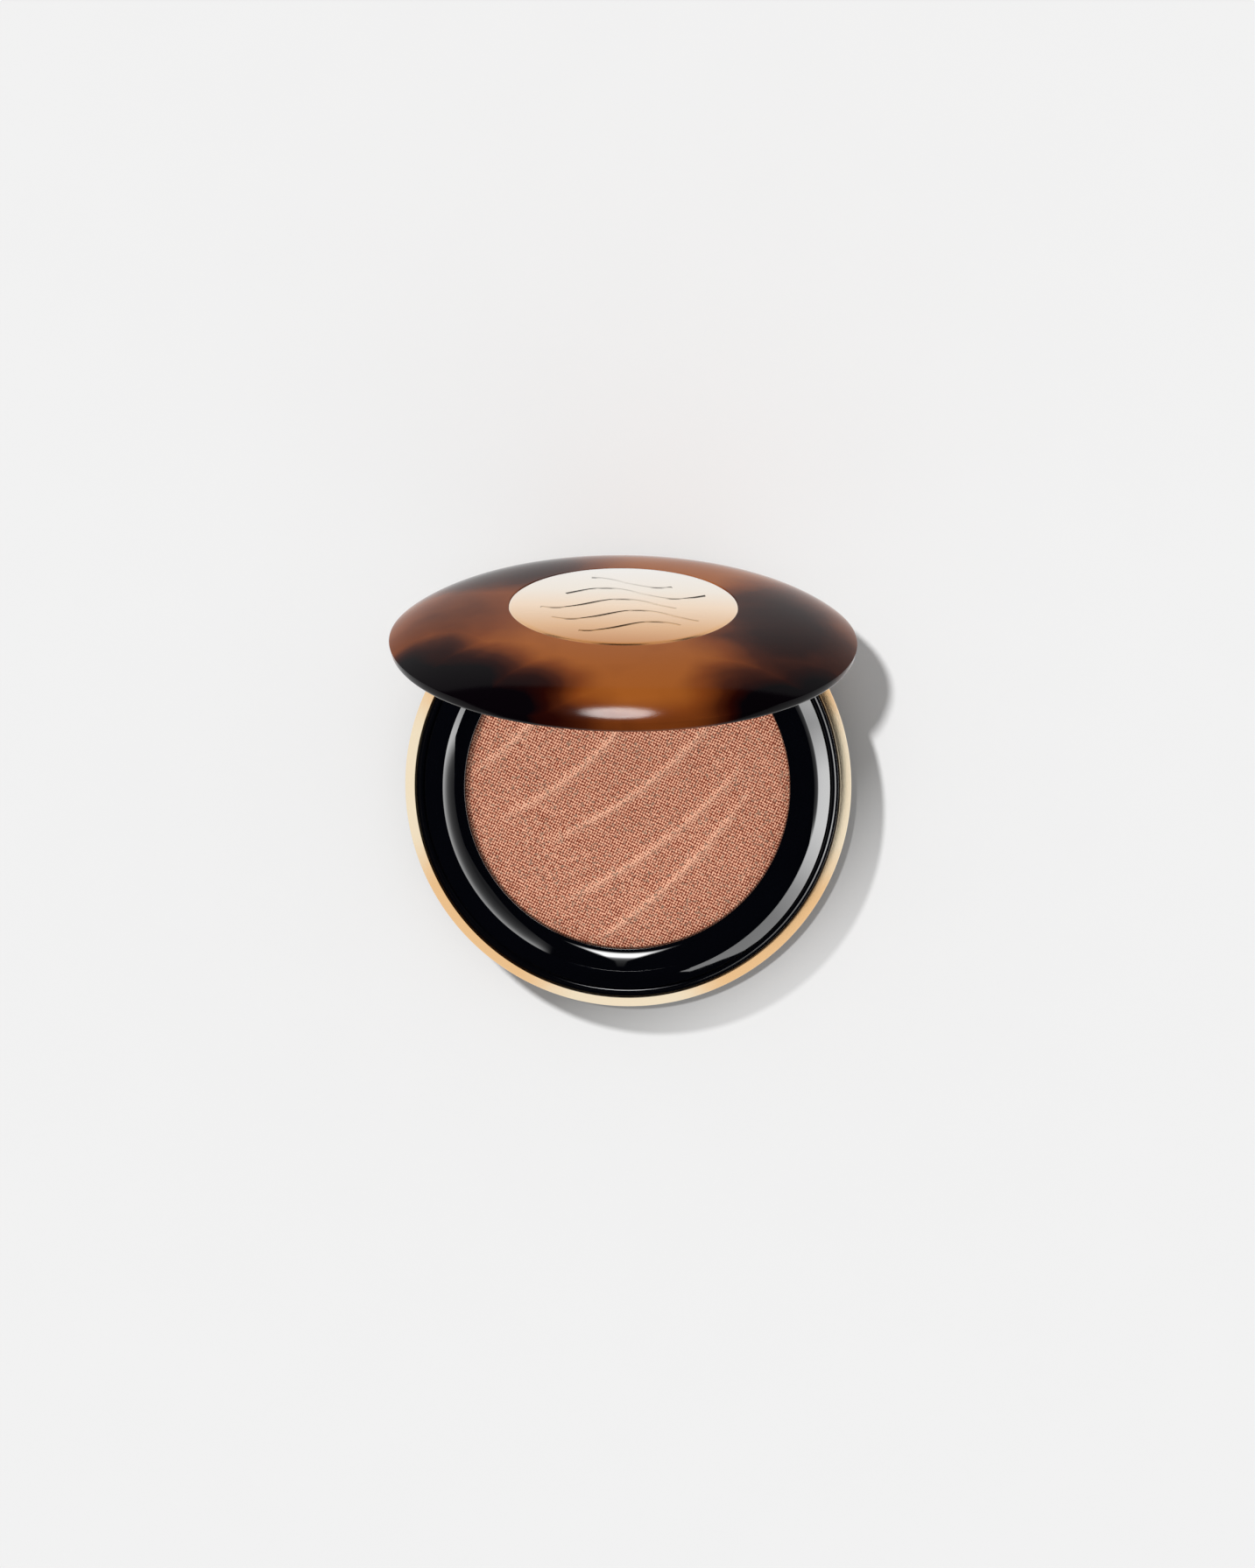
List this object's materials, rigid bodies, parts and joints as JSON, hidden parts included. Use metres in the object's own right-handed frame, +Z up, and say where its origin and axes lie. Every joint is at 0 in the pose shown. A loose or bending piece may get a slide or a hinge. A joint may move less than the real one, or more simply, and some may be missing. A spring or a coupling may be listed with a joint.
{
  "type": "powder compact",
  "caption": "Round domed powder compact with a hinged lid held by friction, an inlaid metal medallion, a gold waist band, a pressed powder pan and a mirror inside the lid.",
  "frame": {"origin": "centre of the flat face that the compact stands on", "axes": "+Z up, +Y towards the hinge, -Y towards the front where the lid opens, +X to the right seen from the front"},
  "size_m": [0.08, 0.0819, 0.0856],
  "materials": {
    "black_plastic": "polished black moulding",
    "black_carrier": "matt black moulding",
    "gold_band": "bright gold plating on a moulding",
    "gold_medallion": "polished light gold with an engraved pattern",
    "adhesive": "clear acrylic glue film",
    "foam_tape": "closed-cell foam tape",
    "pan_aluminium": "satin pressed sheet",
    "pressed_powder": "pressed shimmer powder with embossed creases",
    "zinc_steel": "zinc-plated plate",
    "magnet_nickel": "nickel-plated magnet",
    "blank_label": "blank film sticker",
    "pin_steel": "ground steel pin",
    "nylon": "natural nylon washer",
    "tortoise_plastic": "polished tortoiseshell-pattern resin",
    "mirror_glass": "silvered glass",
    "bumper_rubber": "soft black buffer"
  },
  "bodies": {
    "base": {"base_shell": "black_plastic", "waist_band": "gold_band", "inner_tray": "black_plastic", "pan_carrier": "black_carrier", "pan_adhesive": "adhesive", "powder_pan": "pan_aluminium", "powder_cake": "pressed_powder", "ballast_plate": "zinc_steel", "ballast_pad": "foam_tape", "base_magnets": "magnet_nickel", "base_label": "blank_label", "hinge_pin": "pin_steel", "hinge_washers": "nylon"},
    "lid": {"lid_shell": "tortoise_plastic", "medallion": "gold_medallion", "medallion_adhesive": "adhesive", "lid_liner": "black_plastic", "mirror": "mirror_glass", "mirror_tape": "foam_tape", "lid_magnets": "magnet_nickel", "lid_bumpers": "bumper_rubber", "hinge_plugs": "black_plastic"}
  },
  "joints": [
    {"name": "lid_hinge", "type": "hinge", "parent": "base", "child": "lid", "pos_m": [0, 0.03745, 0.0105], "axis": [-1, 0, 0], "range_deg": [-74.4, 30.6]}
  ]
}
